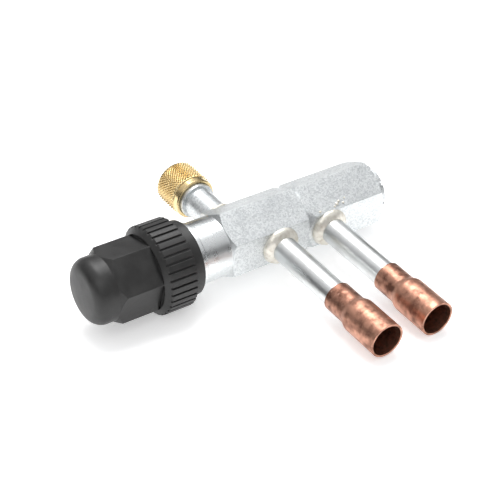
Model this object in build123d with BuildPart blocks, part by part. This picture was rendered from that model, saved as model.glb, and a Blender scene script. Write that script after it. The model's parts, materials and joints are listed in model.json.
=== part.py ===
from build123d import *
import math
import os

# Refrigerant service valve: a two-piece hexagon-bar body with two brazed tubes on one
# flat, a capped charging port on the opposite flat and a back-seating stem under a
# plastic cap.  Millimetres.  X is the stem axis, towards the tail; the tubes leave
# along -Y and the charging port along +Y.  The origin is the centre of the tail face.

os.makedirs("parts", exist_ok=True)

# ---------------------------------------------------------------- driving dimensions
running_gap = 0.05          # radial clearance of a turning or sliding fit
seat_gap = 0.05             # gap left between a valve face and its seat
clear_gap = 0.30            # gap between pieces that pass without touching

# hexagon bar
hex_flats = 19.05           # across the flats, 3/4 in bar
bar_chamfer = 1.2           # length of the turned chamfer at a bar end
joint_chamfer = 2.2         # the same on the rear piece, where the pieces meet
front_hex_length = 27.4
rear_hex_length = 27.9
boss_length = 2.2
boss_radius = 7.8
crimp_count = 8             # notches that stake the boss onto the plug
crimp_radius = 0.7

# neck and stem cap thread
neck_radius = 9.35
neck_length = 8.5
cap_thread_radius = 9.0     # M18 x 1.5
cap_thread_pitch = 1.5
collar_radius = 10.0        # collar that the stem cap seats against
collar_length = 1.9
collar_chamfer = 0.3

# passages along the stem
packing_bore_radius = 5.6
packing_bore_depth = 11.0
packing_clearance = 1.5     # from the packing's floor to the stem's thread
relief_radius = 4.9
stem_thread_radius = 4.15
stem_thread_pitch = 1.25
stem_nut_length = 9.0       # length of the female stem thread
port_chamber_radius = 4.9
port_chamber_length = 6.0
back_seat_depth = 10.6      # from the shoulder of the hexagon to the back seat
back_seat_chamfer = 0.6
chamber_radius = 6.9
joint_spigot_radius = 7.9
joint_spigot_length = 3.25
joint_gasket_thickness = 0.5
front_seat_height = 1.5     # how far the seat ring stands out of the rear piece
front_seat_wall = 1.2
front_seat_radius = 4.2     # bore through the front seat
front_seat_land = 5.5       # length of that bore past the joint spigot
rear_chamber_radius = 5.5
plug_radius = 6.3
plug_length = 5.5

# tubes and copper adapters
inlet_from_joint = 10.7
outlet_from_joint = 7.2
tube_radius = 3.97
tube_wall = 0.9
tube_socket_depth = 2.0
adapter_start = 37.3        # distances from the stem axis
adapter_mouth = 59.8
adapter_wall = 0.6
adapter_overlap = 6.5
cup_radius = 4.8          # takes a 3/8 in tube
cup_depth = 12.2
cup_taper = 3.4
braze_width = 2.1
braze_height = 2.4

# charging port
port_from_shoulder = 7.9
port_radius = 4.8
port_socket_depth = 2.6
port_bore_radius = 1.9
port_collar_radius = 5.6
port_collar_start = 21.3
port_collar_length = 1.3
port_thread_radius = 5.5    # 7/16-20 flare thread
port_thread_length = 8.45
port_cap_pitch = 1.27
flare_length = 1.2
core_bore_radius = 2.6
core_seat_height = 18.4     # from the stem axis to the seat of the core
port_braze_width = 1.2

# valve core
core_body_length = 8.0
core_floor = 1.2
core_spring_bore = 1.7
core_slot_width = 0.9
core_slot_depth = 1.5
pin_radius = 0.7
pin_below_flare = 0.85
pin_flange_radius = 1.5
pin_flange_length = 0.6
pin_collar_length = 0.8
pin_travel = 1.0
core_seal_thickness = 0.8
core_seal_radius = 1.6
spring_wire = 0.35          # square section
spring_turns = 4

# brass port cap
port_cap_radius = 7.1
port_cap_length = 12.5
port_cap_rim_length = 1.9
port_cap_rim_radius = 6.8
port_cap_rim_step = 0.3
port_cap_crown = 1.1        # chamfer of the closed end
port_cap_gasket_thickness = 1.0

# stem, swivelling disc and gland
stem_shank_radius = 3.2
stem_neck_radius = 3.0
stem_nose_radius = 2.4
stem_thread_length = 13.5
stem_thread_runout = 1.0
stem_square = 5.0
stem_square_length = 8.0
stem_tip_from_neck = 15.0
disc_radius = 6.1
disc_face_radius = 4.3
disc_rim_length = 2.5
disc_recess_radius = 3.6
disc_recess_depth = 1.6
retainer_thickness = 0.7
retainer_radius = 3.2
retainer_groove_depth = 0.4
packing_washer_thickness = 0.8
packing_length = 4.6
gland_hex_flats = 12.7
gland_hex_length = 4.0

# black stem cap
cap_hex_flats = 20.0
cap_hex_turn = 14.7         # degrees that the cap's flats stand away from the bar's
cap_nose_fillet = 4.0
cap_crown_angle = 6.0       # degrees that the end face curves through
cap_nose_length = 7.0
cap_hex_length = 13.3
cap_hex_chamfer = 1.7
cap_ring_radius = 13.5
cap_ring_length = 10.0
cap_shoulder_length = 1.6   # cone that leads up to the ring
cap_undercut = 0.5
cap_rim_radius = 11.4
cap_rim_length = 4.0
cap_rib_count = 36
cap_groove_width = 0.7
cap_groove_depth = 0.55
cap_bore_radius = 7.9
cap_end_wall = 2.4
cap_floor_chamfer = 1.0
cap_rim_round = 0.4
cap_rim_gap = 0.1
cap_gasket_length = 1.5
cap_gasket_width = 0.9

# ---------------------------------------------------------------- stations along X
tail_face = 0.0
hex_end = tail_face - boss_length
joint_face = hex_end - rear_hex_length
shoulder = joint_face - front_hex_length
collar_end = shoulder - neck_length
cap_seat = collar_end - collar_length
back_seat = shoulder + back_seat_depth
port_chamber_start = back_seat - port_chamber_length
stem_nut_start = port_chamber_start - stem_nut_length
thread_end = port_chamber_start - stem_thread_runout
thread_start = thread_end - stem_thread_length
packing_floor = thread_start - packing_clearance
neck_end = packing_floor - packing_bore_depth
spigot_face = joint_face - joint_spigot_length
joint_step = spigot_face - joint_gasket_thickness
front_seat = spigot_face - front_seat_height
rear_chamber_start = spigot_face + front_seat_land
plug_seat = tail_face - plug_length
inlet_x = joint_face - inlet_from_joint
outlet_x = joint_face + outlet_from_joint
port_x = shoulder + port_from_shoulder

# heights along the branches, from the stem axis
flat_height = hex_flats / 2
hex_corner = flat_height / math.cos(math.radians(30))
port_thread_start = port_collar_start + port_collar_length
flare_start = port_thread_start + port_thread_length
flare_end = flare_start + flare_length
port_cap_start = port_thread_start + cap_rim_gap
port_cap_end = port_cap_start + port_cap_length
core_top = core_seat_height + core_body_length
pin_tip = flare_end - pin_below_flare
cup_floor = adapter_mouth - cup_depth
cup_outer_radius = cup_radius + adapter_wall
adapter_radius = tube_radius + adapter_wall

branches = {
    "inlet": Plane(origin=(inlet_x, 0, 0), x_dir=(1, 0, 0), z_dir=(0, -1, 0)),
    "outlet": Plane(origin=(outlet_x, 0, 0), x_dir=(1, 0, 0), z_dir=(0, -1, 0)),
    "port": Plane(origin=(port_x, 0, 0), x_dir=(1, 0, 0), z_dir=(0, 1, 0)),
}


def section_plane(branch):
    """Give the plane that holds a branch's axis, with its first axis across the branch."""
    return Plane(origin=branch.origin, x_dir=branch.x_dir, z_dir=branch.y_dir.reverse())


def branch_axis(branch):
    """Give the axis along a branch."""
    return Axis(origin=branch.origin, direction=branch.z_dir)


def save(solid, name):
    """Label a finished piece and write it to its own file."""
    solid.label = name
    export_step(solid, f"parts/{name}.step")


# ---------------------------------------------------------------- front body
with BuildPart() as valve_body:
    with BuildSketch(Plane.YZ.offset(shoulder)):
        RegularPolygon(flat_height, 6, major_radius=False, rotation=30)
    extrude(amount=front_hex_length)
    # turned chamfers leave curved edges on the flats
    with BuildSketch(Plane.XY):
        with BuildLine():
            Polyline(
                (shoulder, 0),
                (shoulder, neck_radius),
                (shoulder + bar_chamfer, hex_corner),
                (joint_face - bar_chamfer / 2, hex_corner),
                (joint_face, flat_height),
                (joint_face, 0),
                close=True,
            )
        make_face()
    revolve(axis=Axis.X, mode=Mode.INTERSECT)
    # turned neck: thread for the stem cap, collar and plain length
    with BuildSketch(Plane.XY):
        with BuildLine():
            Polyline(
                (neck_end, 0),
                (neck_end, cap_thread_radius),
                (cap_seat, cap_thread_radius),
                (cap_seat, collar_radius - collar_chamfer),
                (cap_seat + collar_chamfer, collar_radius),
                (collar_end - collar_chamfer, collar_radius),
                (collar_end, collar_radius - collar_chamfer),
                (collar_end, neck_radius),
                (shoulder, neck_radius),
                (shoulder, 0),
                close=True,
            )
        make_face()
    revolve(axis=Axis.X)
    mouth_edge = valve_body.edges().filter_by(GeomType.CIRCLE).sort_by(Axis.X)[0]
    chamfer(mouth_edge, cap_thread_pitch / 2)
    # one boring from each end
    with BuildSketch(Plane.XY):
        with BuildLine():
            Polyline(
                (neck_end, 0),
                (neck_end, packing_bore_radius),
                (packing_floor, packing_bore_radius),
                (packing_floor, relief_radius),
                (stem_nut_start, relief_radius),
                (stem_nut_start, stem_thread_radius + running_gap),
                (port_chamber_start, stem_thread_radius + running_gap),
                (port_chamber_start, port_chamber_radius),
                (back_seat - back_seat_chamfer, port_chamber_radius),
                (back_seat, port_chamber_radius + back_seat_chamfer),
                (back_seat, chamber_radius),
                (joint_step, chamber_radius),
                (joint_step, joint_spigot_radius),
                (joint_face, joint_spigot_radius),
                (joint_face, 0),
                close=True,
            )
        make_face()
    revolve(axis=Axis.X, mode=Mode.SUBTRACT)
    # socket and passage of the inlet tube
    with BuildSketch(branches["inlet"].offset(flat_height - tube_socket_depth)):
        Circle(tube_radius)
    extrude(amount=hex_corner, mode=Mode.SUBTRACT)
    with BuildSketch(branches["inlet"]):
        Circle(tube_radius - tube_wall)
    extrude(amount=flat_height, mode=Mode.SUBTRACT)
    # socket and passage of the charging port
    with BuildSketch(branches["port"].offset(flat_height - port_socket_depth)):
        Circle(port_radius)
    extrude(amount=hex_corner, mode=Mode.SUBTRACT)
    with BuildSketch(branches["port"]):
        Circle(port_bore_radius)
    extrude(amount=flat_height, mode=Mode.SUBTRACT)
save(valve_body.part, "valve_body")

# ---------------------------------------------------------------- rear body
with BuildPart() as seat_body:
    with BuildSketch(Plane.YZ.offset(joint_face)):
        RegularPolygon(flat_height, 6, major_radius=False, rotation=30)
    extrude(amount=rear_hex_length)
    with BuildSketch(Plane.XY):
        with BuildLine():
            Polyline(
                (joint_face, 0),
                (joint_face, neck_radius),
                (joint_face + joint_chamfer, hex_corner),
                (hex_end - bar_chamfer, hex_corner),
                (hex_end, neck_radius),
                (hex_end, 0),
                close=True,
            )
        make_face()
    revolve(axis=Axis.X, mode=Mode.INTERSECT)
    # joint spigot with the front seat on its nose, and the boss round the plug
    with BuildSketch(Plane.XY):
        with BuildLine():
            Polyline(
                (front_seat, 0),
                (front_seat, front_seat_radius + front_seat_wall),
                (spigot_face, front_seat_radius + front_seat_wall),
                (spigot_face, joint_spigot_radius),
                (joint_face, joint_spigot_radius),
                (joint_face, 0),
                close=True,
            )
        make_face()
    revolve(axis=Axis.X)
    with BuildSketch(Plane.YZ.offset(hex_end)):
        Circle(boss_radius)
    extrude(amount=boss_length)
    with BuildSketch(Plane.XY):
        with BuildLine():
            Polyline(
                (front_seat, 0),
                (front_seat, front_seat_radius),
                (rear_chamber_start, front_seat_radius),
                (rear_chamber_start, rear_chamber_radius),
                (plug_seat, rear_chamber_radius),
                (plug_seat, plug_radius),
                (tail_face, plug_radius),
                (tail_face, 0),
                close=True,
            )
        make_face()
    revolve(axis=Axis.X, mode=Mode.SUBTRACT)
    with BuildSketch(branches["outlet"].offset(flat_height - tube_socket_depth)):
        Circle(tube_radius)
    extrude(amount=hex_corner, mode=Mode.SUBTRACT)
    with BuildSketch(branches["outlet"]):
        Circle(tube_radius - tube_wall)
    extrude(amount=flat_height, mode=Mode.SUBTRACT)
    # crimp notches round the boss
    with BuildSketch(Plane.YZ.offset(tail_face)):
        with PolarLocations(boss_radius, crimp_count):
            Circle(crimp_radius)
    extrude(amount=-boss_length / 2, mode=Mode.SUBTRACT)
save(seat_body.part, "seat_body")

with BuildPart() as joint_gasket:
    with BuildSketch(Plane.YZ.offset(joint_step)):
        Circle(joint_spigot_radius)
        Circle(front_seat_radius + front_seat_wall, mode=Mode.SUBTRACT)
    extrude(amount=joint_gasket_thickness)
save(joint_gasket.part, "joint_gasket")

with BuildPart() as end_plug:
    with BuildSketch(Plane.YZ.offset(plug_seat)):
        Circle(plug_radius)
    extrude(amount=plug_length)
save(end_plug.part, "end_plug")

# ---------------------------------------------------------------- tubes, adapters and braze
for side in ("inlet", "outlet"):
    branch = branches[side]
    with BuildPart() as tube:
        with BuildSketch(branch.offset(flat_height - tube_socket_depth)):
            Circle(tube_radius)
            Circle(tube_radius - tube_wall, mode=Mode.SUBTRACT)
        extrude(amount=adapter_start + adapter_overlap - flat_height + tube_socket_depth)
    save(tube.part, f"{side}_tube")

    with BuildPart() as adapter:
        with BuildSketch(section_plane(branch)):
            with BuildLine():
                inner = Polyline(
                    (tube_radius, adapter_start),
                    (tube_radius, cup_floor - cup_taper),
                )
                inner_swage = Spline(
                    inner @ 1,
                    (cup_radius, cup_floor),
                    tangents=[(0, 1), (0, 1)],
                )
                mouth = Polyline(
                    inner_swage @ 1,
                    (cup_radius, adapter_mouth),
                    (cup_outer_radius, adapter_mouth),
                    (cup_outer_radius, cup_floor),
                )
                outer_swage = Spline(
                    mouth @ 1,
                    (adapter_radius, cup_floor - cup_taper),
                    tangents=[(0, -1), (0, -1)],
                )
                Polyline(
                    outer_swage @ 1,
                    (adapter_radius, adapter_start),
                    (tube_radius, adapter_start),
                )
            make_face()
        revolve(axis=branch_axis(branch))
    save(adapter.part, f"{side}_adapter")

for side, radius, width in (
    ("inlet", tube_radius, braze_width),
    ("outlet", tube_radius, braze_width),
    ("port", port_radius, port_braze_width),
):
    branch = branches[side]
    with BuildPart() as braze:
        with BuildSketch(section_plane(branch)):
            with BuildLine():
                Polyline(
                    (radius, flat_height + width * braze_height / braze_width),
                    (radius, flat_height),
                    (radius + width, flat_height),
                    (radius + width * 2 / 3, flat_height + width * braze_height / braze_width * 2 / 3),
                    close=True,
                )
            make_face()
        revolve(axis=branch_axis(branch))
    save(braze.part, f"{side}_braze")

# ---------------------------------------------------------------- charging port and core
port = branches["port"]
with BuildPart() as service_port:
    with BuildSketch(section_plane(port)):
        with BuildLine():
            Polyline(
                (port_bore_radius, flat_height - port_socket_depth),
                (port_radius, flat_height - port_socket_depth),
                (port_radius, port_collar_start),
                (port_collar_radius, port_collar_start),
                (port_collar_radius, port_thread_start),
                (port_thread_radius, port_thread_start),
                (port_thread_radius, flare_start),
                (port_thread_radius - flare_length, flare_end),
                (core_bore_radius, flare_end),
                (core_bore_radius, core_seat_height),
                (port_bore_radius, core_seat_height),
                close=True,
            )
        make_face()
    revolve(axis=branch_axis(port))
save(service_port.part, "service_port")

with BuildPart() as core_body:
    with BuildSketch(port.offset(core_seat_height)):
        Circle(core_bore_radius - running_gap)
        Circle(pin_radius + running_gap, mode=Mode.SUBTRACT)
    extrude(amount=core_body_length)
    with BuildSketch(port.offset(core_seat_height + core_floor)):
        Circle(core_spring_bore)
    extrude(amount=core_body_length, mode=Mode.SUBTRACT)
    with BuildSketch(port.offset(core_top)):
        Rectangle(2 * core_bore_radius, core_slot_width)
    extrude(amount=-core_slot_depth, mode=Mode.SUBTRACT)
save(core_body.part, "core_body")

seal_face = core_seat_height - seat_gap
pin_collar_start = core_top - core_slot_depth - pin_collar_length / 2
with BuildPart() as core_pin:
    with BuildSketch(port.offset(seal_face - core_seal_thickness - pin_flange_length)):
        Circle(pin_radius)
    extrude(amount=pin_tip - seal_face + core_seal_thickness + pin_flange_length)
    with BuildSketch(port.offset(seal_face - core_seal_thickness - pin_flange_length)):
        Circle(pin_flange_radius)
    extrude(amount=pin_flange_length)
    with BuildSketch(port.offset(pin_collar_start)):
        Circle(pin_flange_radius)
    extrude(amount=pin_collar_length)
    tip_edge = core_pin.edges().filter_by(GeomType.CIRCLE).sort_by(Axis.Y)[-1]
    fillet(tip_edge, pin_radius / 2)
save(core_pin.part, "core_pin")

with BuildPart() as core_seal:
    with BuildSketch(port.offset(seal_face - core_seal_thickness)):
        Circle(core_seal_radius)
        Circle(pin_radius, mode=Mode.SUBTRACT)
    extrude(amount=core_seal_thickness)
save(core_seal.part, "core_seal")

spring_start = core_seat_height + core_floor + spring_wire / 2 + seat_gap
spring_length = pin_collar_start - spring_wire / 2 - seat_gap - spring_start
spring_radius = (pin_radius + core_spring_bore) / 2
spring_base = port.offset(spring_start)
with BuildPart() as core_spring:
    with BuildLine() as coil:
        Helix(
            spring_length / spring_turns,
            spring_length,
            spring_radius,
            center=spring_base.origin,
            direction=spring_base.z_dir,
        )
    with BuildSketch(Plane(origin=coil.line @ 0, z_dir=coil.line % 0)):
        Rectangle(spring_wire, spring_wire)
    sweep(path=coil.line, is_frenet=True)
save(core_spring.part, "core_spring")

# ---------------------------------------------------------------- brass port cap
port_gasket_start = flare_end + seat_gap
with BuildPart() as port_cap:
    with BuildSketch(section_plane(port)):
        with BuildLine():
            Polyline(
                (0, port_cap_end),
                (port_cap_radius - port_cap_crown, port_cap_end),
                (port_cap_radius, port_cap_end - port_cap_crown),
                (port_cap_radius, port_cap_start + port_cap_rim_length),
                (port_cap_rim_radius, port_cap_start + port_cap_rim_length - port_cap_rim_step),
                (port_cap_rim_radius, port_cap_start),
                (port_thread_radius + running_gap, port_cap_start),
                (port_thread_radius + running_gap, port_gasket_start + port_cap_gasket_thickness),
                (0, port_gasket_start + port_cap_gasket_thickness),
                close=True,
            )
        make_face()
    revolve(axis=branch_axis(port))
save(port_cap.part, "port_cap")

with BuildPart() as port_cap_gasket:
    with BuildSketch(port.offset(port_gasket_start)):
        Circle(port_thread_radius - clear_gap)
    extrude(amount=port_cap_gasket_thickness - seat_gap)
save(port_cap_gasket.part, "port_cap_gasket")

# ---------------------------------------------------------------- stem and swivelling disc
cone_setback = seat_gap * math.sqrt(2)
disc_face = back_seat - back_seat_chamfer + cone_setback + disc_face_radius - port_chamber_radius
disc_rim = disc_face + disc_radius - disc_face_radius
disc_end = disc_rim + disc_rim_length
retainer_start = disc_end - disc_recess_depth + seat_gap
stem_travel = front_seat - seat_gap - disc_end
nose_end = disc_end - seat_gap
with BuildPart() as stem_disc:
    with BuildSketch(Plane.XY):
        with BuildLine():
            Polyline(
                (disc_face, stem_nose_radius + running_gap),
                (disc_face, disc_face_radius),
                (disc_rim, disc_radius),
                (disc_end, disc_radius),
                (disc_end, disc_recess_radius),
                (disc_end - disc_recess_depth, disc_recess_radius),
                (disc_end - disc_recess_depth, stem_nose_radius + running_gap),
                close=True,
            )
        make_face()
    revolve(axis=Axis.X)
save(stem_disc.part, "stem_disc")

stem_tip = neck_end - stem_tip_from_neck
with BuildPart() as stem:
    with BuildSketch(Plane.XY):
        with BuildLine():
            Polyline(
                (stem_tip, 0),
                (stem_tip, stem_shank_radius),
                (thread_start, stem_shank_radius),
                (thread_start, stem_thread_radius),
                (thread_end, stem_thread_radius),
                (thread_end, stem_neck_radius),
                (disc_face - seat_gap, stem_neck_radius),
                (disc_face - seat_gap, stem_nose_radius),
                (retainer_start, stem_nose_radius),
                (retainer_start, stem_nose_radius - retainer_groove_depth),
                (retainer_start + retainer_thickness, stem_nose_radius - retainer_groove_depth),
                (retainer_start + retainer_thickness, stem_nose_radius),
                (nose_end, stem_nose_radius),
                (nose_end, 0),
                close=True,
            )
        make_face()
    revolve(axis=Axis.X)
    # square for the service key
    with BuildSketch(Plane.YZ.offset(stem_tip)):
        Circle(2 * stem_shank_radius)
        Rectangle(stem_square, stem_square, rotation=45, mode=Mode.SUBTRACT)
    extrude(amount=stem_square_length, mode=Mode.SUBTRACT)
save(stem.part, "stem")

with BuildPart() as disc_retainer:
    with BuildSketch(Plane.YZ.offset(retainer_start)):
        Circle(retainer_radius)
        Circle(stem_nose_radius - retainer_groove_depth, mode=Mode.SUBTRACT)
        with Locations((retainer_radius, 0)):
            Rectangle(2 * retainer_radius, stem_nose_radius, mode=Mode.SUBTRACT)
    extrude(amount=retainer_thickness)
save(disc_retainer.part, "disc_retainer")

# ---------------------------------------------------------------- packing and gland
packing_end = packing_floor - packing_washer_thickness
gland_face = packing_end - packing_length
stem_bore = stem_shank_radius + running_gap
with BuildPart() as packing_washer:
    with BuildSketch(Plane.YZ.offset(packing_end)):
        Circle(packing_bore_radius)
        Circle(stem_bore, mode=Mode.SUBTRACT)
    extrude(amount=packing_washer_thickness)
save(packing_washer.part, "packing_washer")

with BuildPart() as stem_packing:
    with BuildSketch(Plane.YZ.offset(gland_face)):
        Circle(packing_bore_radius)
        Circle(stem_bore, mode=Mode.SUBTRACT)
    extrude(amount=packing_length)
save(stem_packing.part, "stem_packing")

gland_hex_start = neck_end - gland_hex_length
with BuildPart() as gland_nut:
    with BuildSketch(Plane.YZ.offset(gland_hex_start)):
        RegularPolygon(gland_hex_flats / 2, 6, major_radius=False, rotation=30)
    extrude(amount=gland_hex_length)
    gland_corner = gland_hex_flats / 2 / math.cos(math.radians(30))
    with BuildSketch(Plane.XY):
        with BuildLine():
            Polyline(
                (gland_hex_start, 0),
                (gland_hex_start, gland_hex_flats / 2),
                (gland_hex_start + gland_corner - gland_hex_flats / 2, gland_corner),
                (neck_end, gland_corner),
                (neck_end, 0),
                close=True,
            )
        make_face()
    revolve(axis=Axis.X, mode=Mode.INTERSECT)
    with BuildSketch(Plane.YZ.offset(neck_end)):
        Circle(packing_bore_radius)
    extrude(amount=gland_face - neck_end)
    with BuildSketch(Plane.YZ.offset(gland_hex_start)):
        Circle(stem_bore)
    extrude(amount=gland_face - gland_hex_start, mode=Mode.SUBTRACT)
save(gland_nut.part, "gland_nut")

# ---------------------------------------------------------------- black stem cap
cap_mouth = cap_seat - cap_rim_gap
cap_ring_end = cap_mouth - cap_rim_length
cap_ring_start = cap_ring_end - cap_ring_length
cap_hex_start = cap_ring_start - cap_hex_length
cap_tip = cap_hex_start - cap_nose_length
cap_flat = cap_hex_flats / 2
cap_corner = cap_flat / math.cos(math.radians(30))
cap_lip_radius = cap_corner - cap_rim_gap
crown_turn = math.radians(cap_crown_angle)
crown_radius = cap_flat - cap_nose_fillet * (1 - math.sin(crown_turn))
crown_height = crown_radius * math.tan(crown_turn / 2)
cap_thread_bore = cap_thread_radius + running_gap
cap_gasket_inner = cap_thread_radius + clear_gap
cap_gasket_outer = cap_gasket_inner + cap_gasket_width
cap_gasket_seat = cap_mouth - cap_gasket_length
with BuildPart() as stem_cap:
    # hexagon for a wrench, its outer corners turned off
    with BuildSketch(Plane.YZ.offset(cap_hex_start)):
        RegularPolygon(cap_flat, 6, major_radius=False, rotation=cap_hex_turn + 30)
    extrude(amount=cap_hex_length + cap_undercut)
    with BuildSketch(Plane.XY):
        with BuildLine():
            Polyline(
                (cap_hex_start, 0),
                (cap_hex_start, cap_flat),
                (cap_hex_start + cap_hex_chamfer, cap_corner),
                (cap_ring_start + cap_undercut, cap_corner),
                (cap_ring_start + cap_undercut, 0),
                close=True,
            )
        make_face()
    revolve(axis=Axis.X, mode=Mode.INTERSECT)
    # domed nose
    with BuildSketch(Plane.XY):
        with BuildLine():
            dome = ThreePointArc(
                (cap_tip, 0),
                (cap_tip + crown_height / 4, crown_radius / 2),
                (cap_tip + crown_height, crown_radius),
            )
            curl = JernArc(dome @ 1, dome % 1, cap_nose_fillet, cap_crown_angle - 90)
            Polyline(
                curl @ 1,
                (cap_hex_start, cap_flat),
                (cap_hex_start, 0),
                (cap_tip, 0),
            )
        make_face()
    revolve(axis=Axis.X)
    # gripping ring and plain rim
    with BuildSketch(Plane.XY):
        with BuildLine():
            Polyline(
                (cap_ring_start, cap_lip_radius),
                (cap_ring_start + cap_shoulder_length, cap_ring_radius),
                (cap_ring_end, cap_ring_radius),
                (cap_ring_end, cap_rim_radius),
                (cap_mouth, cap_rim_radius),
                (cap_mouth, 0),
                (cap_ring_start + cap_undercut, 0),
                (cap_ring_start + cap_undercut, cap_lip_radius),
                close=True,
            )
        make_face()
    revolve(axis=Axis.X)
    rim_edge = stem_cap.edges().filter_by(GeomType.CIRCLE).group_by(Axis.X)[-1].sort_by(SortBy.RADIUS)[-1]
    fillet(rim_edge, cap_rim_round)
    with BuildSketch(Plane.YZ.offset(cap_ring_start)):
        with PolarLocations(cap_ring_radius, cap_rib_count):
            Rectangle(2 * cap_groove_depth, cap_groove_width)
    extrude(amount=cap_ring_length, mode=Mode.SUBTRACT)
    # stepped bore: gasket seat, thread, room for the gland nut and the stem
    with BuildSketch(Plane.XY):
        with BuildLine():
            Polyline(
                (cap_mouth, 0),
                (cap_mouth, cap_gasket_outer + running_gap),
                (cap_gasket_seat, cap_gasket_outer + running_gap),
                (cap_gasket_seat, cap_thread_bore),
                (neck_end - clear_gap, cap_thread_bore),
                (neck_end - clear_gap, cap_bore_radius),
                (cap_tip + cap_end_wall + cap_floor_chamfer, cap_bore_radius),
                (cap_tip + cap_end_wall, cap_bore_radius - cap_floor_chamfer),
                (cap_tip + cap_end_wall, 0),
                close=True,
            )
        make_face()
    revolve(axis=Axis.X, mode=Mode.SUBTRACT)
save(stem_cap.part, "stem_cap")

with BuildPart() as stem_cap_gasket:
    with BuildSketch(Plane.YZ.offset(cap_gasket_seat + seat_gap)):
        Circle(cap_gasket_outer)
        Circle(cap_gasket_inner, mode=Mode.SUBTRACT)
    extrude(amount=cap_gasket_length + cap_rim_gap - 2 * seat_gap)
save(stem_cap_gasket.part, "stem_cap_gasket")

print(f"stem travel {stem_travel:.3f} mm, stations: inlet {inlet_x:.2f}, outlet {outlet_x:.2f}, "
      f"port {port_x:.2f}, cap tip {cap_tip:.2f}, stem tip {stem_tip:.2f}, neck end {neck_end:.2f}")
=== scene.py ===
import json
import logging
import math
from dataclasses import dataclass, field
from enum import Enum
from typing import Sequence, Union

import bpy
from mathutils import Matrix, Vector


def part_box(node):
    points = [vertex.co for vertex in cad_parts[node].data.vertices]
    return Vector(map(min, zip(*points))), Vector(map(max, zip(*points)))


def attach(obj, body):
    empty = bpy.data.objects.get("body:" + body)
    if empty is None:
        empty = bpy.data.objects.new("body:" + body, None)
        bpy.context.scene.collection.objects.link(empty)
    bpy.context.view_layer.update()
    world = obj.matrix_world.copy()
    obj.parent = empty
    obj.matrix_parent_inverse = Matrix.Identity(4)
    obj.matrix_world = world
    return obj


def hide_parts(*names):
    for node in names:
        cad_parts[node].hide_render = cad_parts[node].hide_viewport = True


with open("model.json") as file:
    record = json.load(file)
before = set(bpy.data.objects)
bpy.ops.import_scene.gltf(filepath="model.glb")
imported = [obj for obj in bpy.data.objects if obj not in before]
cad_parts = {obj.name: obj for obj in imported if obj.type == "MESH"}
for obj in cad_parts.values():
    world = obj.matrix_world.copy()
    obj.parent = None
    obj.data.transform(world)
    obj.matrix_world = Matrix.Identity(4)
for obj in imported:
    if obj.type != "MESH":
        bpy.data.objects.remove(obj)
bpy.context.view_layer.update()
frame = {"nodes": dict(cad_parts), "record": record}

MM = 0.001
SHOULDER_X = -0.0575        # where the turned neck meets the hexagon
CAP_SEAT_X = -0.0679        # where the stem cap's thread ends at the collar
PORT_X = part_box("port_cap")[0][0] / 2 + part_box("port_cap")[1][0] / 2
PORT_LUMP = 0.3 * MM        # the port's braze is the smoothest of the three

log = logging.getLogger("service_valve")
Socket = bpy.types.NodeSocket
Value = Union[Socket, float, Sequence[float]]


class Slot(Enum):
    """The record's material slots."""

    ZINC = "zinc_plated_steel"
    TUBE = "plated_tube"
    STEEL = "bare_steel"
    COPPER = "copper"
    BRAZE = "silver_braze"
    BRASS = "brass"
    RUBBER = "seal_rubber"
    PTFE = "ptfe"
    NYLON = "black_nylon"


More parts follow.
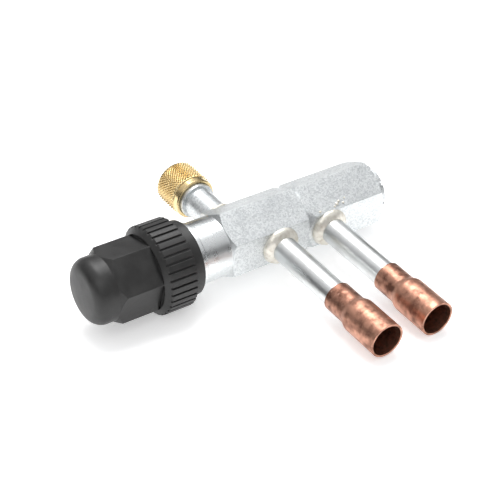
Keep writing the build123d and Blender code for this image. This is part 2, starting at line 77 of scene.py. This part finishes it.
# ------------------------------------------------------------------ node graphs
class Graph:
    """A material's node tree, with short calls for the nodes that the finishes share."""

    def __init__(self, name: str) -> None:
        """Start a material whose surface is one Principled shader."""
        self.material = bpy.data.materials.new(name)
        self.material.use_nodes = True
        self.tree = self.material.node_tree
        self.tree.nodes.clear()
        output = self.tree.nodes.new("ShaderNodeOutputMaterial")
        self.shader = self.tree.nodes.new("ShaderNodeBsdfPrincipled")
        self.tree.links.new(self.shader.outputs["BSDF"], output.inputs["Surface"])
        self.place = self.add("ShaderNodeTexCoord").outputs["Object"]

    def put(self, socket: Socket, value: Value) -> None:
        """Link a socket to another, or give it a constant."""
        if isinstance(value, bpy.types.NodeSocket):
            self.tree.links.new(value, socket)
        else:
            socket.default_value = value

    def add(self, kind: str, **settings: object) -> bpy.types.Node:
        """Add a node.

        Args:
            kind: The node's type.
            settings: Its properties.

        Returns:
            The node.
        """
        node = self.tree.nodes.new(kind)
        for name, value in settings.items():
            setattr(node, name, value)
        return node

    def math(self, operation: str, first: Value, second: Value = 0.0) -> Socket:
        """Give the result of a Math node."""
        node = self.add("ShaderNodeMath", operation=operation)
        self.put(node.inputs[0], first)
        self.put(node.inputs[1], second)
        return node.outputs[0]

    def noise(self, size: float, detail: float = 3.0, stretch: Sequence[float] = (1, 1, 1)) -> Socket:
        """Give a noise from 0 to 1.

        Args:
            size: The width of one patch in metres.
            detail: How many finer layers it has.
            stretch: How much longer a patch is along each axis.

        Returns:
            The noise's value.
        """
        mapping = self.add("ShaderNodeMapping")
        self.put(mapping.inputs["Vector"], self.place)
        self.put(mapping.inputs["Scale"], tuple(1 / (size * way) for way in stretch))
        node = self.add("ShaderNodeTexNoise")
        self.put(node.inputs["Vector"], mapping.outputs["Vector"])
        self.put(node.inputs["Scale"], 1.0)
        self.put(node.inputs["Detail"], detail)
        return node.outputs["Fac"]

    def cells(self, size: float) -> Socket:
        """Give one random value for each crystal of a given width in metres."""
        node = self.add("ShaderNodeTexVoronoi")
        self.put(node.inputs["Vector"], self.place)
        self.put(node.inputs["Scale"], 1 / size)
        grey = self.add("ShaderNodeSeparateColor")
        self.put(grey.inputs["Color"], node.outputs["Color"])
        return grey.outputs[0]

    def span(self, value: Value, low: float, high: float, start: float = 0.0, end: float = 1.0) -> Socket:
        """Map a value from low..high to start..end, clamped."""
        node = self.add("ShaderNodeMapRange")
        names = ("Value", "From Min", "From Max", "To Min", "To Max")
        for name, number in zip(names, (value, low, high, start, end)):
            self.put(node.inputs[name], number)
        return node.outputs["Result"]

    def blend(self, share: Value, first: Value, second: Value) -> Socket:
        """Mix two colours."""
        node = self.add("ShaderNodeMix", data_type="RGBA")
        self.put(node.inputs[0], share)
        self.put(node.inputs[6], first)
        self.put(node.inputs[7], second)
        return node.outputs[2]

    def axis(self, name: str) -> Socket:
        """Give one of the object coordinates, X, Y or Z."""
        node = self.add("ShaderNodeSeparateXYZ")
        self.put(node.inputs[0], self.place)
        return node.outputs[name]

    def soften(self, radius: float) -> Socket:
        """Give a normal that rounds sharp edges over a radius in metres."""
        node = self.add("ShaderNodeBevel", samples=6)
        self.put(node.inputs["Radius"], radius)
        return node.outputs["Normal"]

    def bump(
        self, height: Value, distance: float, normal: Socket | None = None, strength: Value = 1.0,
    ) -> Socket:
        """Give a normal tilted by a height of 0 to 1 that stands for a distance in metres."""
        node = self.add("ShaderNodeBump")
        self.put(node.inputs["Height"], height)
        self.put(node.inputs["Distance"], distance)
        self.put(node.inputs["Strength"], strength)
        if normal is not None:
            self.put(node.inputs["Normal"], normal)
        return node.outputs["Normal"]

    def dress(self, **inputs: Value) -> bpy.types.Material:
        """Set the shader's inputs, with underscores for spaces in their names, and give the material."""
        for name, value in inputs.items():
            self.put(self.shader.inputs[name.replace("_", " ")], value)
        return self.material


def colour(red: float, green: float, blue: float) -> tuple[float, float, float, float]:
    """Give a linear colour with full alpha."""
    return (red, green, blue, 1.0)


def thread_height(
    graph: Graph, along: Socket, round_angle: Socket, pitch: float, low: float, high: float,
) -> Socket:
    """Give the height of a screw thread between two places along its axis.

    Args:
        graph: The material's graph.
        along: The coordinate along the thread's axis.
        round_angle: The angle round that axis.
        pitch: The thread's pitch in metres.
        low: Where the thread starts.
        high: Where it ends.

    Returns:
        The height, 0 to 1 on the thread and 1 elsewhere.
    """
    phase = graph.math("ADD", graph.math("MULTIPLY", along, 2 * math.pi / pitch), round_angle)
    wave = graph.math("ADD", graph.math("MULTIPLY", graph.math("SINE", phase), 0.5), 0.5)
    past_low = graph.math("GREATER_THAN", along, low)
    before_high = graph.math("LESS_THAN", along, high)
    inside = graph.math("MULTIPLY", past_low, before_high)
    return graph.math("SUBTRACT", 1.0, graph.math("MULTIPLY", inside, graph.math("SUBTRACT", 1.0, wave)))


# ------------------------------------------------------------------ finishes
@dataclass(frozen=True)
class Zinc:
    """Zinc plating: spangled on the hexagon's flats and bright on the turned neck."""

    tone: tuple[float, float, float] = (0.79, 0.815, 0.82)
    dark_tone: tuple[float, float, float] = (0.40, 0.425, 0.44)
    crystal: float = 0.42 * MM
    flat_roughness: float = 0.40
    turned_roughness: float = 0.27
    edge: float = 0.16 * MM
    thread_pitch: float = 1.5 * MM
    thread_lead_in: float = 0.4 * MM
    thread_runout: float = 0.3 * MM
    neck_end_x: float = -79.9 * MM

    def build(self) -> bpy.types.Material:
        """Build the material."""
        graph = Graph("zinc_plated_steel")
        x, y, z = (graph.axis(name) for name in "XYZ")
        on_flat = graph.span(x, SHOULDER_X - 0.2 * MM, SHOULDER_X + 0.8 * MM)
        crystal = graph.cells(self.crystal)
        spangle = graph.math("MULTIPLY", graph.span(crystal, 0.15, 0.95), on_flat)
        stain = graph.span(graph.noise(7 * MM, 4.0), 0.45, 0.75)
        base = graph.blend(graph.math("MULTIPLY", spangle, 0.55), colour(*self.tone), colour(*self.dark_tone))
        base = graph.blend(graph.math("MULTIPLY", stain, 0.25), base, colour(*self.dark_tone))
        rough = graph.span(on_flat, 0, 1, self.turned_roughness, self.flat_roughness)
        rough = graph.math("ADD", rough, graph.span(graph.noise(2.5 * MM), 0.3, 0.7, -0.04, 0.06))
        angle = graph.math("ARCTAN2", z, y)
        low = self.neck_end_x + self.thread_lead_in
        high = CAP_SEAT_X - self.thread_runout
        thread = thread_height(graph, x, angle, self.thread_pitch, low, high)
        normal = graph.bump(thread, 0.55 * MM, graph.soften(self.edge))
        lathe = graph.noise(0.12 * MM, 1.0, (1, 60, 60))
        normal = graph.bump(lathe, 0.004 * MM, normal, graph.math("SUBTRACT", 1.0, on_flat))
        normal = graph.bump(crystal, 0.035 * MM, normal, on_flat)
        normal = graph.bump(graph.noise(0.9 * MM, 4.0), 0.03 * MM, normal)
        return graph.dress(Base_Color=base, Metallic=1.0, Roughness=rough, Normal=normal)


@dataclass(frozen=True)
class DrawnTube:
    """Bright plated tube with faint marks along its length."""

    tone: tuple[float, float, float] = (0.73, 0.745, 0.745)
    worn: tuple[float, float, float] = (0.50, 0.50, 0.49)

    def build(self) -> bpy.types.Material:
        """Build the material."""
        graph = Graph("plated_tube")
        marks = graph.noise(0.5 * MM, 3.0, (1, 22, 1))
        clouds = graph.noise(4 * MM, 4.0)
        base = graph.blend(graph.span(clouds, 0.45, 0.8, 0, 0.55), colour(*self.tone), colour(*self.worn))
        rough = graph.span(marks, 0.25, 0.75, 0.27, 0.39)
        normal = graph.bump(marks, 0.006 * MM, graph.bump(clouds, 0.05 * MM))
        return graph.dress(Base_Color=base, Metallic=1.0, Roughness=rough, Normal=normal)


@dataclass(frozen=True)
class Steel:
    """Turned steel, lightly oiled."""

    tone: tuple[float, float, float] = (0.56, 0.56, 0.55)
    shade: tuple[float, float, float] = (0.4, 0.4, 0.39)
    thread_pitch: float = 1.25 * MM
    thread_start_x: float = -67.3 * MM
    thread_end_x: float = -54.1 * MM

    def build(self) -> bpy.types.Material:
        """Build the material."""
        graph = Graph("bare_steel")
        x, y, z = (graph.axis(name) for name in "XYZ")
        rings = graph.noise(0.1 * MM, 1.0, (1, 50, 50))
        clouds = graph.span(graph.noise(3 * MM), 0.4, 0.7, 0, 0.5)
        base = graph.blend(clouds, colour(*self.tone), colour(*self.shade))
        angle = graph.math("ARCTAN2", z, y)
        thread = thread_height(graph, x, angle, self.thread_pitch, self.thread_start_x, self.thread_end_x)
        normal = graph.bump(rings, 0.005 * MM, graph.bump(thread, 0.45 * MM))
        return graph.dress(Base_Color=base, Metallic=1.0, Roughness=0.3, Normal=normal)


@dataclass(frozen=True)
class Copper:
    """Annealed copper, mottled with oxide and darker on its narrow neck."""

    bright: tuple[float, float, float] = (0.58, 0.30, 0.21)
    oxide: tuple[float, float, float] = (0.17, 0.080, 0.055)
    pink: tuple[float, float, float] = (0.74, 0.44, 0.34)
    swage_start_y: float = -46.5 * MM
    swage_end_y: float = -43.5 * MM
    neck_darkening: float = 0.35

    def build(self) -> bpy.types.Material:
        """Build the material."""
        graph = Graph("copper")
        mottle = graph.noise(2.6 * MM, 5.0)
        y = graph.axis("Y")
        narrow = graph.span(y, self.swage_start_y, self.swage_end_y)
        oxidised = graph.span(mottle, 0.42, 0.66, 0, 0.8)
        share = graph.math("ADD", oxidised, graph.math("MULTIPLY", narrow, self.neck_darkening))
        base = graph.blend(share, colour(*self.bright), colour(*self.oxide))
        base = graph.blend(graph.span(graph.noise(1.2 * MM, 3.0), 0.6, 0.8, 0, 0.5), base, colour(*self.pink))
        rough = graph.span(mottle, 0.3, 0.7, 0.34, 0.52)
        normal = graph.bump(graph.noise(1.6 * MM, 4.0), 0.07 * MM, graph.soften(0.14 * MM))
        return graph.dress(Base_Color=base, Metallic=1.0, Roughness=rough, Normal=normal)


@dataclass(frozen=True)
class Braze:
    """Silver braze: creamy, lumpy and half dull."""

    tone: tuple[float, float, float] = (0.88, 0.85, 0.77)
    flux: tuple[float, float, float] = (0.66, 0.61, 0.52)

    def build(self) -> bpy.types.Material:
        """Build the material."""
        graph = Graph("silver_braze")
        lumps = graph.noise(1.1 * MM, 5.0)
        base = graph.blend(graph.span(lumps, 0.45, 0.75), colour(*self.tone), colour(*self.flux))
        rough = graph.span(lumps, 0.3, 0.7, 0.30, 0.50)
        normal = graph.bump(lumps, 0.06 * MM)
        return graph.dress(Base_Color=base, Metallic=0.6, Roughness=rough, Normal=normal)


@dataclass(frozen=True)
class Brass:
    """Bright turned brass with a slight tarnish."""

    tone: tuple[float, float, float] = (0.83, 0.65, 0.35)
    tarnish: tuple[float, float, float] = (0.60, 0.42, 0.18)

    def build(self) -> bpy.types.Material:
        """Build the material."""
        graph = Graph("brass")
        patches = graph.noise(3 * MM, 4.0)
        base = graph.blend(graph.span(patches, 0.45, 0.8, 0, 0.6), colour(*self.tone), colour(*self.tarnish))
        rough = graph.span(graph.noise(0.6 * MM), 0.3, 0.7, 0.17, 0.30)
        normal = graph.bump(graph.noise(0.1 * MM, 1.0, (60, 1, 60)), 0.003 * MM, graph.soften(0.08 * MM))
        return graph.dress(Base_Color=base, Metallic=1.0, Roughness=rough, Normal=normal)


@dataclass(frozen=True)
class Moulded:
    """A moulded plastic or rubber.

    Fields: the material's name, its colour, its roughness, the grain's height in metres and
    the radius that its edges are rounded over.
    """

    name: str
    tone: tuple[float, float, float]
    roughness: float
    grain: float
    edge: float

    def build(self) -> bpy.types.Material:
        """Build the material."""
        graph = Graph(self.name)
        grain = graph.noise(0.35 * MM, 3.0)
        clouds = graph.noise(5 * MM, 4.0)
        lighter = tuple(min(1.0, part * 1.7 + 0.004) for part in self.tone)
        base = graph.blend(graph.span(clouds, 0.35, 0.75), colour(*self.tone), colour(*lighter))
        rough = graph.span(clouds, 0.3, 0.7, self.roughness - 0.05, self.roughness + 0.07)
        normal = graph.bump(graph.noise(2.2 * MM, 2.0), self.grain * 4, graph.soften(self.edge))
        normal = graph.bump(grain, self.grain, normal)
        return graph.dress(Base_Color=base, Roughness=rough, Normal=normal)


FINISHES = {
    Slot.ZINC: Zinc(),
    Slot.TUBE: DrawnTube(),
    Slot.STEEL: Steel(),
    Slot.COPPER: Copper(),
    Slot.BRAZE: Braze(),
    Slot.BRASS: Brass(),
    Slot.RUBBER: Moulded("seal_rubber", (0.018, 0.018, 0.02), 0.6, 0.012 * MM, 0.1 * MM),
    Slot.PTFE: Moulded("ptfe", (0.74, 0.74, 0.71), 0.45, 0.006 * MM, 0.1 * MM),
    Slot.NYLON: Moulded("black_nylon", (0.017, 0.0168, 0.0165), 0.42, 0.012 * MM, 0.28 * MM),
}


class Palette:
    """The materials, each built once."""

    def __init__(self) -> None:
        """Build every finish."""
        self.materials = {slot: finish.build() for slot, finish in FINISHES.items()}

    def dress_nodes(self) -> None:
        """Give each CAD node the finish that the record names for it."""
        for part in frame["record"]["subparts"]:
            node = frame["nodes"][part["node"]]
            material = self.materials[Slot(part["material_slot"])]
            if not node.material_slots:
                node.data.materials.append(material)
            for place in node.material_slots:
                place.material = material

    def give(self, piece: bpy.types.Object, slot: Slot) -> None:
        """Give a new piece one finish all over and name its slot."""
        piece.data.materials.clear()
        piece.data.materials.append(self.materials[slot])


# ------------------------------------------------------------------ modelling helpers
def deselect() -> None:
    """Leave edit mode with nothing selected."""
    if bpy.context.object is not None and bpy.context.object.mode != "OBJECT":
        bpy.ops.object.mode_set(mode="OBJECT")
    bpy.ops.object.select_all(action="DESELECT")


def choose(piece: bpy.types.Object) -> None:
    """Make one piece the only selected and active object."""
    deselect()
    piece.select_set(True)
    bpy.context.view_layer.objects.active = piece


def settle(piece: bpy.types.Object) -> None:
    """Leave edit mode and move a piece's place, turn and size into its mesh."""
    choose(piece)
    bpy.ops.object.transform_apply(location=True, rotation=True, scale=True)


def apply_all(piece: bpy.types.Object) -> None:
    """Apply a piece's modifiers in order."""
    choose(piece)
    for modifier in list(piece.modifiers):
        bpy.ops.object.modifier_apply(modifier=modifier.name)


def lathe(
    name: str, profile: Sequence[tuple[float, float]], sides: int, place: Vector, turn: float,
) -> bpy.types.Object:
    """Turn a closed ring of (radius, height) corners about the Y direction.

    Args:
        name: The piece's name.
        profile: Its corners, from the first face to the last, radius first.
        sides: How many segments the circle has.
        place: The foot of the axis.
        turn: 1 for heights along +Y, -1 for heights along -Y.

    Returns:
        The piece, with its place in its mesh.
    """
    deselect()
    radius, height = profile[0]
    bpy.ops.mesh.primitive_circle_add(
        vertices=sides, radius=radius, fill_type="NOTHING", location=(0, 0, height),
    )
    piece = bpy.context.object
    piece.name = name
    bpy.ops.object.mode_set(mode="EDIT")
    bpy.ops.mesh.select_all(action="SELECT")
    for following, level in profile[1:]:
        bpy.ops.mesh.extrude_edges_move()
        bpy.ops.transform.translate(value=(0, 0, level - height))
        share = following / radius
        bpy.ops.transform.resize(value=(share, share, 1), center_override=(0, 0, level))
        radius, height = following, level
    bpy.ops.mesh.select_all(action="SELECT")
    bpy.ops.mesh.remove_doubles(threshold=0.001 * MM)
    bpy.ops.mesh.normals_make_consistent(inside=False)
    settle(piece)
    piece.location = place
    piece.rotation_euler = (-turn * math.pi / 2, 0, 0)
    settle(piece)
    bpy.ops.object.shade_smooth_by_angle(angle=math.radians(32))
    return piece


# ------------------------------------------------------------------ sub-assemblies
@dataclass
class KnurledCap:
    """The charging port's brass cap: a turned cup with a diamond knurl between two plain bands."""

    body_radius: float = 6.62 * MM
    tip_radius: float = 7.12 * MM
    bore_radius: float = 5.56 * MM
    crown: float = 1.15 * MM
    rim_band: float = 1.7 * MM
    edge: float = 0.3 * MM
    small_edge: float = 0.25 * MM
    groove_depth: float = 0.35 * MM
    groove_start: float = 0.25 * MM     # these three are measured from the rim band
    groove_end: float = 0.55 * MM
    knurl_start: float = 0.8 * MM
    crown_step: float = 0.1 * MM
    crown_rise: float = 0.12 * MM
    floor_gap: float = 0.05 * MM
    pole_ring: float = 0.6 * MM
    pole_radius: float = 0.01 * MM
    stud_sink: float = 0.06 * MM
    round_count: int = 42
    rows: int = 8
    sides: int = 84

    def build(self) -> bpy.types.Object:
        """Build the cap over the CAD one."""
        low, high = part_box("port_cap")
        start, end = low[1], high[1]
        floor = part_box("port_cap_gasket")[1][1] + self.floor_gap
        length = end - start
        r = self.body_radius
        crown_foot = length - self.crown
        profile = [
            (self.bore_radius, floor - start),
            (self.bore_radius, self.small_edge),
            (self.bore_radius + self.small_edge, 0.0),
            (r - self.edge, 0.0),
            (r, self.edge),
            (r, self.rim_band),
            (r - self.groove_depth, self.rim_band + self.groove_start),
            (r - self.groove_depth, self.rim_band + self.groove_end),
            (r, self.rim_band + self.knurl_start),
            (r, crown_foot - self.small_edge),
            (r - self.crown_step, crown_foot),
            (r - self.crown, length - self.crown_rise),
            (r - self.crown - self.small_edge, length),
            (self.pole_ring, length),
            (self.pole_radius, length),
        ]
        body = lathe("port_cap_knurled", profile, self.sides, Vector((PORT_X, start, 0)), 1)
        self.close_ends(body)
        studs = self.studs(start + self.rim_band + self.knurl_start, end - self.crown - self.small_edge)
        choose(body)
        studs.select_set(True)
        bpy.ops.object.join()
        return body

    def close_ends(self, body: bpy.types.Object) -> None:
        """Fill the bore's end and the pole of the closed face."""
        choose(body)
        bpy.ops.object.mode_set(mode="EDIT")
        bpy.ops.mesh.select_mode(type="EDGE")
        bpy.ops.mesh.select_all(action="DESELECT")
        bpy.ops.mesh.select_non_manifold()
        bpy.ops.mesh.edge_face_add()
        bpy.ops.mesh.select_all(action="SELECT")
        bpy.ops.mesh.normals_make_consistent(inside=False)
        bpy.ops.object.mode_set(mode="OBJECT")

    def studs(self, low: float, high: float) -> bpy.types.Object:
        """Model one diamond stud and set copies of it in staggered rows.

        Args:
            low: Where the knurl starts along Y.
            high: Where it ends.

        Returns:
            The studs as one piece.
        """
        pitch = (high - low) / self.rows
        step = 2 * math.pi / self.round_count
        width = self.body_radius * step
        deselect()
        depth = self.tip_radius - self.body_radius + self.stud_sink
        bpy.ops.mesh.primitive_cone_add(
            vertices=4, radius1=0.5, radius2=0.07, depth=depth,
            location=(PORT_X, low + pitch / 2, self.body_radius - self.stud_sink + depth / 2),
        )
        stud = bpy.context.object
        stud.scale = (width, pitch, 1)
        settle(stud)
        hub = bpy.data.objects.new("knurl_hub", None)
        bpy.context.collection.objects.link(hub)
        about = Matrix.Translation((PORT_X, 0, 0))
        hub.matrix_world = about @ Matrix.Rotation(step, 4, "Y") @ about.inverted()
        bpy.context.view_layer.update()
        row = stud.copy()
        row.data = stud.data.copy()
        bpy.context.collection.objects.link(row)
        half_step = Matrix.Rotation(step / 2, 4, "Y")
        half_pitch = Matrix.Translation((0, pitch / 2, 0))
        row.matrix_world = about @ half_step @ about.inverted() @ half_pitch
        settle(row)
        for piece, count in ((stud, self.rows), (row, self.rows - 1)):
            ring = piece.modifiers.new("ring", "ARRAY")
            ring.count = self.round_count
            ring.use_relative_offset = False
            ring.use_object_offset = True
            ring.offset_object = hub
            rows = piece.modifiers.new("rows", "ARRAY")
            rows.count = count
            rows.use_relative_offset = False
            rows.use_constant_offset = True
            rows.constant_offset_displace = (0, pitch, 0)
            apply_all(piece)
        bpy.data.objects.remove(hub)
        choose(stud)
        row.select_set(True)
        bpy.ops.object.join()
        return stud


@dataclass
class BrazeCollar:
    """A lumpy ring of braze where a tube enters a flat."""

    node: str
    turn: int
    sides: int = 96
    lump: float = 0.32 * MM
    lump_size: float = 2.6 * MM
    bite: float = 0.3 * MM              # how far the foot sinks into the flat
    bore_overlap: float = 0.15 * MM     # how far the bore sinks into the tube
    leg_share: float = 0.875            # the collar's width as a share of its height
    foot_share: float = 0.12            # the upright foot as a share of its height
    hollow: float = 1.8                 # how concave the slope is, 1 being round
    slope_steps: int = 6

    def build(self) -> bpy.types.Object:
        """Build the collar over the CAD one."""
        low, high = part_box(self.node)
        middle = (low[0] + high[0]) / 2
        foot = low[1] if self.turn > 0 else high[1]
        outer = (high[0] - low[0]) / 2
        height = high[1] - low[1]
        inner = outer - height * self.leg_share - self.bore_overlap
        width = outer - inner
        foot_height = self.foot_share * height
        slope_height = (1 - self.foot_share) * height
        profile = [(inner, -self.bite), (outer, -self.bite), (outer, foot_height)]
        for step in range(1, self.slope_steps + 1):
            angle = step / self.slope_steps * math.pi / 2
            radius = inner + width * math.cos(angle) ** self.hollow
            profile.append((radius, foot_height + slope_height * math.sin(angle)))
        profile.append((inner, -self.bite))
        ring = lathe(self.node + "_bead", profile, self.sides, Vector((middle, foot, 0)), self.turn)
        texture = bpy.data.textures.new(self.node + "_lumps", "CLOUDS")
        texture.noise_scale = self.lump_size
        texture.noise_depth = 3
        smooth = ring.modifiers.new("fine", "SUBSURF")
        smooth.levels = smooth.render_levels = 2
        lumps = ring.modifiers.new("lumps", "DISPLACE")
        lumps.texture = texture
        lumps.texture_coords = "GLOBAL"
        lumps.strength = self.lump
        lumps.mid_level = 0.5
        apply_all(ring)
        return ring


@dataclass
class Spatter:
    """Beads of flux spatter beside the outlet's braze."""

    places: Sequence[tuple[float, float, float]] = (
        (3.4, 9.3, 0.55), (4.4, 8.7, 0.42), (5.6, 9.6, 0.38),
        (-3.1, 9.9, 0.40), (6.8, 8.3, 0.30), (2.3, 9.9, 0.34),
    )
    flat: float = 9.525 * MM            # from the stem axis to a flat
    run_to_middle: float = 5.5          # millimetres from the flat's edge to its middle
    roughen: float = 0.12               # of a bead's radius
    first_seed: int = 3

    def build(self) -> bpy.types.Object:
        """Build the beads on the flat above the outlet tube."""
        low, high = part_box("outlet_braze")
        middle = (low[0] + high[0]) / 2
        outward = Vector((0, -0.5, math.sqrt(3) / 2))
        along = Vector((0, -math.sqrt(3) / 2, -0.5))
        beads: list[bpy.types.Object] = []
        for offset, run, size in self.places:
            deselect()
            spot = outward * self.flat + along * (run - self.run_to_middle) * MM
            spot = spot + Vector((middle + offset * MM, 0, 0))
            bpy.ops.mesh.primitive_ico_sphere_add(subdivisions=3, radius=size * MM, location=spot)
            bead = bpy.context.object
            bpy.ops.object.mode_set(mode="EDIT")
            bpy.ops.mesh.select_all(action="SELECT")
            seed = len(beads) + self.first_seed
            bpy.ops.transform.vertex_random(offset=size * MM * self.roughen, seed=seed)
            bpy.ops.object.mode_set(mode="OBJECT")
            settle(bead)
            bpy.ops.object.shade_smooth()
            beads.append(bead)
        deselect()
        for bead in beads:
            bead.select_set(True)
        bpy.context.view_layer.objects.active = beads[0]
        bpy.ops.object.join()
        beads[0].name = "outlet_spatter"
        return beads[0]


# ------------------------------------------------------------------ studio
@dataclass
class Studio:
    """The floor that the valve lies on, the light and the camera."""

    rest_normal: Vector = field(default_factory=lambda: Vector((-0.0344, 0.105, 1.0)).normalized())
    floor_size: float = 2.4
    floor_gap: float = 0.02 * MM
    floor_middle_x: float = -0.05
    floor_lift: float = 0.44
    camera_place: Vector = field(default_factory=lambda: Vector((-0.26356, -0.29251, 0.27017)))
    camera_way: Vector = field(default_factory=lambda: Vector((0.4777, 0.6383, -0.6037)))
    camera_up: Vector = field(default_factory=lambda: Vector((0.3098, 0.5206, 0.7956)))
    lens: float = 110.35

    def build(self) -> None:
        """Build the whole studio."""
        self.floor()
        self.world()
        self.lamps()
        self.camera()

    def lowest(self) -> float:
        """Give the least distance of the part's surface along the rest normal."""
        return min(
            self.rest_normal.dot(node.matrix_world @ vertex.co)
            for node in frame["nodes"].values()
            for vertex in node.data.vertices
        )

    def floor(self) -> None:
        """Lay the floor under the valve's three resting points."""
        deselect()
        bpy.ops.mesh.primitive_plane_add(size=self.floor_size)
        floor = bpy.context.object
        floor.name = "floor"
        floor.rotation_euler = self.rest_normal.to_track_quat("Z", "Y").to_euler()
        middle = Vector((self.floor_middle_x, 0, 0))
        drop = self.rest_normal * (self.lowest() - self.floor_gap)
        floor.location = drop + middle - self.rest_normal * self.rest_normal.dot(middle)
        settle(floor)
        material = bpy.data.materials.new("floor_paper")
        material.use_nodes = True
        tree = material.node_tree
        tree.nodes.clear()
        output = tree.nodes.new("ShaderNodeOutputMaterial")
        paper = tree.nodes.new("ShaderNodeBsdfDiffuse")
        paper.inputs["Color"].default_value = colour(0.92, 0.92, 0.92)
        glow = tree.nodes.new("ShaderNodeEmission")
        path = tree.nodes.new("ShaderNodeLightPath")
        seen = tree.nodes.new("ShaderNodeMath")
        seen.operation = "MAXIMUM"
        tree.links.new(path.outputs["Is Camera Ray"], seen.inputs[0])
        tree.links.new(path.outputs["Is Glossy Ray"], seen.inputs[1])
        strength = tree.nodes.new("ShaderNodeMath")
        strength.operation = "MULTIPLY"
        tree.links.new(seen.outputs[0], strength.inputs[0])
        strength.inputs[1].default_value = self.floor_lift
        tree.links.new(strength.outputs[0], glow.inputs["Strength"])
        both = tree.nodes.new("ShaderNodeAddShader")
        tree.links.new(paper.outputs[0], both.inputs[0])
        tree.links.new(glow.outputs[0], both.inputs[1])
        tree.links.new(both.outputs[0], output.inputs["Surface"])
        floor.data.materials.append(material)

    def world(self) -> None:
        """Set a room that is dark near the horizon and bright overhead, and white to the camera."""
        world = bpy.data.worlds.new("studio")
        bpy.context.scene.world = world
        world.use_nodes = True
        tree = world.node_tree
        tree.nodes.clear()
        output = tree.nodes.new("ShaderNodeOutputWorld")
        place = tree.nodes.new("ShaderNodeTexCoord")
        dot = tree.nodes.new("ShaderNodeVectorMath")
        dot.operation = "DOT_PRODUCT"
        dot.inputs[1].default_value = self.rest_normal
        tree.links.new(place.outputs["Generated"], dot.inputs[0])
        ramp = tree.nodes.new("ShaderNodeValToRGB")
        stops = ((0.0, 0.26), (0.10, 0.12), (0.30, 0.16), (0.50, 0.55), (0.72, 0.78), (1.0, 0.85))
        elements = ramp.color_ramp.elements
        while len(elements) < len(stops):
            elements.new(0.5)
        for element, (where, level) in zip(elements, stops):
            element.position = where
            element.color = colour(level, level, level * 1.01)
        tree.links.new(dot.outputs["Value"], ramp.inputs["Fac"])
        room = tree.nodes.new("ShaderNodeBackground")
        tree.links.new(ramp.outputs["Color"], room.inputs["Color"])
        white = tree.nodes.new("ShaderNodeBackground")
        path = tree.nodes.new("ShaderNodeLightPath")
        white.inputs["Color"].default_value = colour(1, 1, 1)
        mix = tree.nodes.new("ShaderNodeMixShader")
        tree.links.new(path.outputs["Is Camera Ray"], mix.inputs["Fac"])
        tree.links.new(room.outputs[0], mix.inputs[1])
        tree.links.new(white.outputs[0], mix.inputs[2])
        tree.links.new(mix.outputs[0], output.inputs["Surface"])

    def lamps(self) -> None:
        """Hang soft boxes over the valve."""
        for name, place, size, power in (
            ("key", Vector((0.05, 0.25, 0.62)), 0.45, 3.4),
            ("fill", Vector((-0.45, -0.30, 0.45)), 0.35, 0.5),
        ):
            lamp = bpy.data.lights.new(name, "AREA")
            lamp.shape = "SQUARE"
            lamp.size = size
            lamp.energy = power
            holder = bpy.data.objects.new(name, lamp)
            holder.location = place
            aim = Vector((-0.05, -0.01, 0)) - place
            holder.rotation_euler = aim.to_track_quat("-Z", "Y").to_euler()
            bpy.context.collection.objects.link(holder)

    def camera(self) -> None:
        """Set the camera above the cap's side, looking along the valve to its tail."""
        data = bpy.data.cameras.new("camera")
        data.lens = self.lens
        data.sensor_width = 36
        data.clip_start = 0.02
        data.clip_end = 20
        camera = bpy.data.objects.new("camera", data)
        back = -self.camera_way.normalized()
        right = self.camera_up.cross(back).normalized()
        up = back.cross(right)
        turn = Matrix((right, up, back)).transposed().to_4x4()
        camera.matrix_world = Matrix.Translation(self.camera_place) @ turn
        bpy.context.collection.objects.link(camera)
        bpy.context.scene.camera = camera
        view = bpy.context.scene.view_settings
        view.view_transform = "Standard"


def main() -> None:
    """Build the dressed valve in order."""
    logging.basicConfig(level=logging.INFO)
    palette = Palette()
    palette.dress_nodes()
    pieces = (
        (KnurledCap(), Slot.BRASS, "port_cap", ("port_cap",)),
        (BrazeCollar("inlet_braze", -1), Slot.BRAZE, "valve", ("inlet_braze",)),
        (BrazeCollar("outlet_braze", -1), Slot.BRAZE, "valve", ("outlet_braze",)),
        (BrazeCollar("port_braze", 1, lump=PORT_LUMP), Slot.BRAZE, "valve", ("port_braze",)),
        (Spatter(), Slot.BRAZE, "valve", ()),
    )
    for maker, slot, body, nodes in pieces:
        piece = maker.build()
        palette.give(piece, slot)
        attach(piece, body)
        if nodes:
            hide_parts(*nodes)
        log.info("%s: %d faces on %s", piece.name, len(piece.data.polygons), body)
    Studio().build()


if __name__ == "__main__":
    main()
